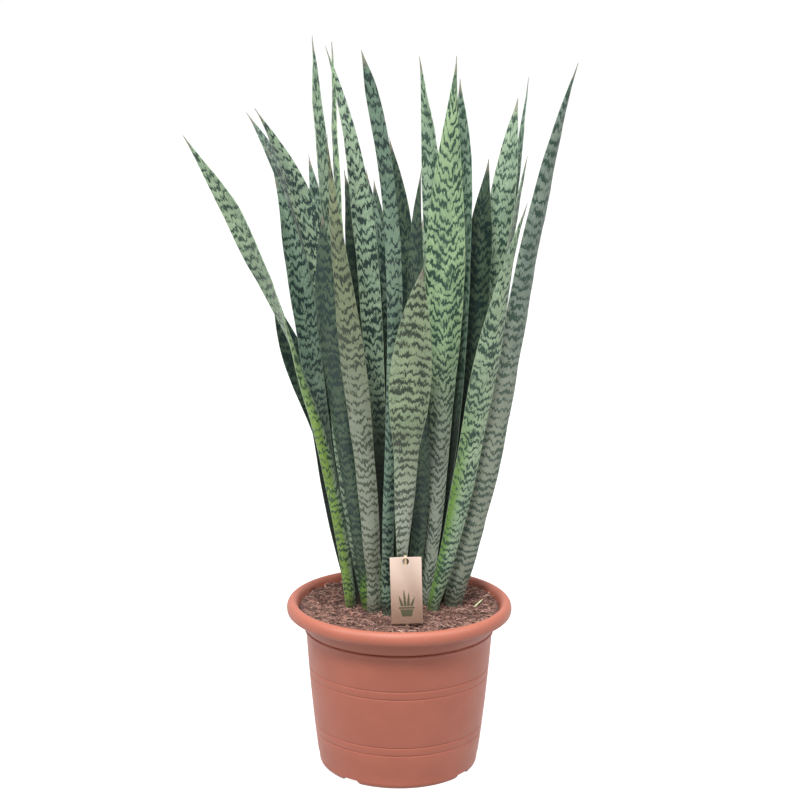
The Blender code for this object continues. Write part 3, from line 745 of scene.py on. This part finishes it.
profile = [(radius, soil_level(radius)) for radius in np.arange(0.0, SOIL_EDGE - SOIL_ROUND, SOIL_STEP)]
edge = SOIL_TOP + SOIL_BANK - SOIL_ROUND
profile += [(inner_radius(z) - SOIL_GAP, z) for z in (edge, NECK[1], 0.1, 0.0140)]
profile += [(inner_radius(0.0134) - 0.006, SOIL_FOOT), (0.0, SOIL_FOOT)]
soil_body = turned("soil_body", profile, SOIL_TURN)
loose = soil_body.vertex_groups.new(name="loose")
for vert in soil_body.data.vertices:
    radius = math.hypot(vert.co.x, vert.co.y)
    if vert.co.z > SOIL_TOP - 0.0005 and radius < SOIL_EDGE - 0.0008:
        loose.add([vert.index], 1.0, "REPLACE")
for label, size, height in SOIL_WAVES:
    texture = bpy.data.textures.new("soil_" + label, "CLOUDS")
    texture.noise_scale = size
    texture.noise_depth = 2
    rough = soil_body.modifiers.new(label, "DISPLACE")
    rough.texture = texture
    rough.texture_coords = "LOCAL"
    rough.direction = "Z"
    rough.strength = height
    rough.mid_level = 0.5
    rough.vertex_group = "loose"
apply_all(soil_body)
pick(soil_body)
bpy.ops.object.shade_smooth()
print("soil faces:", len(soil_body.data.polygons))

# %% Where the soil's surface is
soil_tree = BVHTree.FromPolygons([vert.co for vert in soil_body.data.vertices],
                                 [face.vertices for face in soil_body.data.polygons])


def soil_height(x, y):
    hit = soil_tree.ray_cast(Vector((x, y, POT_TOP)), Vector((0.0, 0.0, -1.0)))
    return hit[0].z if hit[0] is not None else SOIL_TOP


chance = random.Random(7)


def spot_on_soil(reach=0.1165):
    """A random place on the soil, with as many near the wall as its area asks."""
    radius = reach * math.sqrt(chance.random())
    turn = chance.uniform(0.0, 2.0 * math.pi)
    return radius * math.cos(turn), radius * math.sin(turn)


def spot_by_label():
    """A place on the soil just in front of the label, to its left."""
    return chance.uniform(-0.020, -0.004), chance.uniform(-0.108, -0.102)


# %% One crumb and one fibre
def crumb_shape():
    """A lump with twenty faces, pulled out of round."""
    bpy.ops.mesh.primitive_ico_sphere_add(subdivisions=1, radius=1.0)
    lump = bpy.context.object
    edit_all(lump)
    bpy.ops.transform.vertex_random(offset=0.35, seed=4)
    leave_edit()
    return lump


FIBRE_THICKNESS = 0.027     # radius of a fibre over its length


def fibre_shape(bend):
    """A three-sided strand of unit length along X, bowed sideways and pointed at its ends."""
    rows = 6
    points = []
    for i in range(rows):
        t = i / (rows - 1)
        thick = 0.25 + 0.75 * math.sin(math.pi * t)
        for j in range(3):
            turn = 2.0 * math.pi * j / 3
            points.append((t - 0.5, bend * math.sin(math.pi * t) + thick * math.cos(turn) * FIBRE_THICKNESS,
                           thick * math.sin(turn) * FIBRE_THICKNESS))
    faces = [(2, 1, 0), (3 * rows - 3, 3 * rows - 2, 3 * rows - 1)]
    for i in range(rows - 1):
        for j in range(3):
            k = (j + 1) % 3
            faces.append((3 * i + j, 3 * i + k, 3 * i + 3 + k, 3 * i + 3 + j))
    return new_piece("strand", points, faces)


# %% Scatter them
def scatter(name, sources, count, size_range, flatness, lift, spot=spot_on_soil):
    """One mesh of many copies of the source shapes, lying on the soil."""
    bm = bmesh.new()
    for i in range(count):
        source = sources[i % len(sources)].data
        x, y = spot()
        size = chance.uniform(*size_range)
        turn = Matrix.Rotation(chance.uniform(0.0, 2.0 * math.pi), 4, "Z")
        lean = Matrix.Rotation(chance.gauss(0.0, flatness), 4, (chance.random(), chance.random(), 0.0))
        shift = Matrix.Translation((x, y, soil_height(x, y) + lift * size))
        scale = Matrix.Diagonal((size, size, size, 1.0))
        start = len(bm.verts)
        bm.from_mesh(source)
        bm.verts.ensure_lookup_table()
        bmesh.ops.transform(bm, matrix=shift @ lean @ turn @ scale, verts=bm.verts[start:])
    piece = new_piece(name, [])
    bm.to_mesh(piece.data)
    bm.free()
    edit_all(piece)
    bpy.ops.mesh.normals_make_consistent(inside=False)
    leave_edit()
    return piece


lump = crumb_shape()
strands = [fibre_shape(bend) for bend in (-0.42, -0.15, 0.05, 0.24, 0.50)]
soil_crumbs = scatter("soil_crumbs", [lump], 1500, (0.0008, 0.0028), 1.5, 0.15)
soil_fibres = scatter("soil_fibres", strands, 1500, (0.006, 0.019), 0.22, 0.05)
dark_fibres = scatter("soil_dark_fibres", strands, 1100, (0.007, 0.020), 0.22, 0.05)
pale_chips = scatter("soil_chips", [lump], 5, (0.0016, 0.0026), 1.5, 0.3, spot_by_label)
for source in [lump] + strands:
    bpy.data.objects.remove(source)
print("soil pieces:", [piece.name for piece in (soil_crumbs, soil_fibres, dark_fibres, pale_chips)])

# %% A fallen sliver of leaf
SLIVER_PLACE = (0.0950, 0.006)
bpy.ops.mesh.primitive_uv_sphere_add(segments=12, ring_count=8, radius=0.5)
soil_sliver = bpy.context.object
soil_sliver.name = "soil_sliver"
soil_sliver.scale = (0.0165, 0.0022, 0.0009)
soil_sliver.rotation_euler = (0.5, math.radians(-38), math.radians(20))
soil_sliver.location = (*SLIVER_PLACE, soil_height(*SLIVER_PLACE) + 0.0062)
settle(soil_sliver)
bpy.ops.object.shade_smooth()

# %% [markdown]
# The soil is a warm dark brown that varies from crumb to crumb. Fibres are straw and rust coloured,
# and a few pale chips lie among them.


# %% Soil finishes
def earth_finish(name, dark, light, cell, roughness):
    material, shader = new_finish(name, roughness)
    tree = material.node_tree
    put(tree, "ShaderNodeTexCoord")
    place = tree.nodes[-1].outputs["Object"]
    grains = noise(tree, place, (cell, cell, cell), 4.0, 3.0)
    patches = noise(tree, place, (cell * 5, cell * 5, cell * 5), 8.0, 2.0)
    mixed = sums(tree, "MULTIPLY_ADD", patches, 0.6, sums(tree, "MULTIPLY", grains, 0.6))
    share = ramp(tree, mixed, 0.42, 0.80)
    tree.links.new(blend(tree, share, dark, light), shader.inputs["Base Color"])
    bump(tree, grains, cell * 0.25, shader, 0.6)
    return material


# piece: name, dark and light colour, size of a grain and roughness of its finish
EARTHS = (
    (soil_body, "coir_soil", (0.030, 0.014, 0.011), (0.19, 0.098, 0.076), 0.0022, 0.95),
    (soil_crumbs, "coir_crumbs", (0.045, 0.021, 0.016), (0.33, 0.170, 0.132), 0.0035, 0.95),
    (soil_fibres, "coir_fibres", (0.27, 0.135, 0.098), (0.60, 0.39, 0.31), 0.006, 0.8),
    (dark_fibres, "coir_dark_fibres", (0.035, 0.016, 0.013), (0.20, 0.095, 0.072), 0.006, 0.85),
    (soil_sliver, "dry_leaf", (0.36, 0.40, 0.17), (0.62, 0.62, 0.38), 0.004, 0.7),
    (pale_chips, "wood_chips", (0.42, 0.30, 0.20), (0.72, 0.60, 0.46), 0.004, 0.8),
)
for piece, *finish in EARTHS:
    replaced = ["soil"] if piece is soil_body else []
    finish_piece(piece, earth_finish(*finish), "coir_soil", *replaced)
print("soil finishes:", len(EARTHS))

# %% [markdown]
# ## Label
#
# A kraft card leans a little to one side, in front of a thin birch stick that stands in the soil. The
# card has an oval hole at its top, where the stick's end shows. It carries a plain printed picture of
# a potted plant, and no words.

# %% Label frame
LABEL_LEAN = math.radians(-1.9)
card_low, card_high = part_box("label_card")
CARD = (0.0365, 0.0008, 0.0795)  # width, thickness, height
HOLE = (0.0037, 0.00425)    # half the hole's width and height
HOLE_DROP = 0.0010          # from the card's top edge down to the hole
card_middle = (card_low + card_high) / 2
label_turn = Matrix.Translation(card_middle) @ Matrix.Rotation(LABEL_LEAN, 4, "Y")


def to_label(piece):
    """Places a piece that was made about the card's middle, facing -Y."""
    piece.data.transform(label_turn)
    piece.data.update()


# %% Card
bpy.ops.mesh.primitive_cube_add(size=1.0)
label = bpy.context.object
label.name = "label_kraft"
label.scale = CARD
settle(label)
edit_all(label)
bpy.ops.mesh.bevel(offset=0.00018, segments=2, affect="EDGES")
leave_edit()
bpy.ops.mesh.primitive_cylinder_add(vertices=48, radius=1.0, depth=1.0, rotation=(math.pi / 2, 0.0, 0.0))
hole = bpy.context.object
settle(hole)
hole.scale = (HOLE[0], 0.004, HOLE[1])
hole.location = (0.0, 0.0, CARD[2] / 2 - HOLE_DROP - HOLE[1])
settle(hole)
cutting = label.modifiers.new("hole", "BOOLEAN")
cutting.operation = "DIFFERENCE"
cutting.solver = "EXACT"
cutting.object = hole
apply_all(label)
bpy.data.objects.remove(hole)
pick(label)
bpy.ops.object.shade_smooth_by_angle(angle=math.radians(30))
to_label(label)

# %% Card finish
kraft, shader = new_finish("kraft_card", 0.82)
tree = kraft.node_tree
put(tree, "ShaderNodeTexCoord")
place = tree.nodes[-1].outputs["Object"]
put(tree, "ShaderNodeSeparateXYZ", {0: place})
up = tree.nodes[-1].outputs[2]
hairs = noise(tree, place, (0.0035, 0.0035, 0.0006), 2.0, 3.0)
flecks = noise(tree, place, (0.0006, 0.0006, 0.0010), 5.0, 2.0)
clouds = noise(tree, place, (0.012, 0.012, 0.012), 9.0, 2.0)
# painted shade: the card darkens towards its foot, where it stands in shadow, and is paler towards its top
painted_shade_ramp = ramp(tree, up, card_low.z, card_high.z)
colour = blend(tree, painted_shade_ramp, (0.42, 0.262, 0.190), (0.72, 0.56, 0.47))
colour = blend(tree, sums(tree, "MULTIPLY", ramp(tree, hairs, 0.45, 0.75), 0.30), colour, (0.72, 0.56, 0.44))
spotted = sums(tree, "MULTIPLY", ramp(tree, flecks, 0.60, 0.72), 0.35)
colour = blend(tree, spotted, colour, (0.24, 0.14, 0.09))
colour = blend(tree, sums(tree, "MULTIPLY", clouds, 0.15), colour, (0.40, 0.26, 0.18))
tree.links.new(colour, shader.inputs["Base Color"])
bump(tree, hairs, 0.00010, shader, 0.6)
finish_piece(label, kraft, "kraft_card", "label_card")


# %% Printed plant
def printed_blade(foot, tip, width):
    """One blade of the print: a flat lens shape from its foot to its tip."""
    foot, tip = Vector(foot), Vector(tip)
    side = Vector((tip.y - foot.y, foot.x - tip.x)).normalized()
    steps = 10
    right = []
    left = []
    for i in range(steps + 1):
        t = i / steps
        half = width / 2 * (1.0 - t ** 2.2)
        right.append(foot.lerp(tip, t) + side * half)
        left.append(foot.lerp(tip, t) - side * half)
    return right, left


INK_DEPTH = 0.00012
PRINT_LOW = -0.0310         # the foot of the printed pot, from the card's middle
PRINT_SCALE = 1.45
front = -CARD[1] / 2
# each blade: the place of its foot, and the place and height of its tip
BLADES = ((-0.0036, -0.0062, 0.0175), (-0.0012, -0.0022, 0.0225), (0.0012, 0.0018, 0.0200),
          (0.0036, 0.0064, 0.0160))
BLADE_FOOT = 0.0085
BLADE_WIDTH = 0.0021
# each part of the pot: its lower and upper height, and half its width there
POT_PARTS = ((0.0, 0.0058, 0.0038, 0.0052), (0.0064, 0.0078, 0.0062, 0.0062))
strips = [printed_blade((x, BLADE_FOOT), (lean, top), BLADE_WIDTH) for x, lean, top in BLADES]
for low, high, narrow, wide in POT_PARTS:
    right = [Vector((narrow, low)), Vector((wide, high))]
    left = [Vector((-narrow, low)), Vector((-wide, high))]
    strips.append((right, left))
points = []
faces = []
for right, left in strips:
    start = len(points)
    for near, far in zip(right, left):
        for corner in (near, far):
            points.append((corner.x * PRINT_SCALE, front, corner.y * PRINT_SCALE + PRINT_LOW))
    for i in range(start, len(points) - 2, 2):
        faces.append((i, i + 1, i + 3, i + 2))
print_piece = new_piece("label_print", points, faces)
edit_all(print_piece)
bpy.ops.mesh.remove_doubles(threshold=0.000001)
bpy.ops.mesh.normals_make_consistent(inside=False)
leave_edit()
inked = print_piece.modifiers.new("ink", "SOLIDIFY")
inked.thickness = 2 * INK_DEPTH
inked.offset = 0.0
apply_all(print_piece)
edit_all(print_piece)
bpy.ops.mesh.normals_make_consistent(inside=False)
leave_edit()
to_label(print_piece)
ink, shader = new_finish("printed_ink", 0.7)
tree = ink.node_tree
put(tree, "ShaderNodeTexCoord")
place = tree.nodes[-1].outputs["Object"]
patchy = noise(tree, place, (0.0009, 0.0009, 0.0009), 6.0, 2.0)
colour = blend(tree, ramp(tree, patchy, 0.55, 0.75), (0.085, 0.085, 0.045), (0.30, 0.22, 0.14))
tree.links.new(colour, shader.inputs["Base Color"])
finish_piece(print_piece, ink, "kraft_card")
print("printed faces:", len(print_piece.data.polygons))

# %% [markdown]
# The stick is a thin birch skewer with a rounded top, standing behind the card.

# %% Stick
stick_low, stick_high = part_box("label_stick")
STICK_RADIUS = 0.0017
stick_length = (stick_high.z - stick_low.z) / math.cos(LABEL_LEAN)
profile = [(0.0, stick_length / 2)]
profile += arc((STICK_RADIUS - 0.0008, stick_length / 2 - 0.0008), (0.0008, 0.0008), 90, 0, 5)
profile += [(STICK_RADIUS, z) for z in np.linspace(stick_length / 2 - 0.004, -stick_length / 2 + 0.012, 24)]
profile += [(0.0004, -stick_length / 2), (0.0, -stick_length / 2)]
stick = turned("label_skewer", profile, 24)
grain_texture = bpy.data.textures.new("stick_wave", "CLOUDS")
grain_texture.noise_scale = 0.012
uneven = stick.modifiers.new("uneven", "DISPLACE")
uneven.texture = grain_texture
uneven.strength = 0.0002
apply_all(stick)
pick(stick)
bpy.ops.object.shade_smooth_by_angle(angle=math.radians(45))
stick.data.transform(Matrix.Translation((stick_low + stick_high) / 2) @ Matrix.Rotation(LABEL_LEAN, 4, "Y"))

birch, shader = new_finish("birch_stick", 0.6)
tree = birch.node_tree
put(tree, "ShaderNodeTexCoord")
place = tree.nodes[-1].outputs["Object"]
lines = noise(tree, place, (0.0005, 0.0005, 0.030), 1.0, 3.0)
tones = noise(tree, place, (0.003, 0.003, 0.020), 7.0, 2.0)
colour = blend(tree, ramp(tree, lines, 0.40, 0.65), (0.62, 0.43, 0.25), (0.80, 0.62, 0.42))
colour = blend(tree, sums(tree, "MULTIPLY", ramp(tree, tones, 0.5, 0.8), 0.3), colour, (0.46, 0.28, 0.15))
tree.links.new(colour, shader.inputs["Base Color"])
bump(tree, lines, 0.00008, shader, 0.6)
finish_piece(stick, birch, "birch_stick", "label_stick")

# %% [markdown]
# ## Finish
#

# %% Finish
bpy.context.view_layer.update()
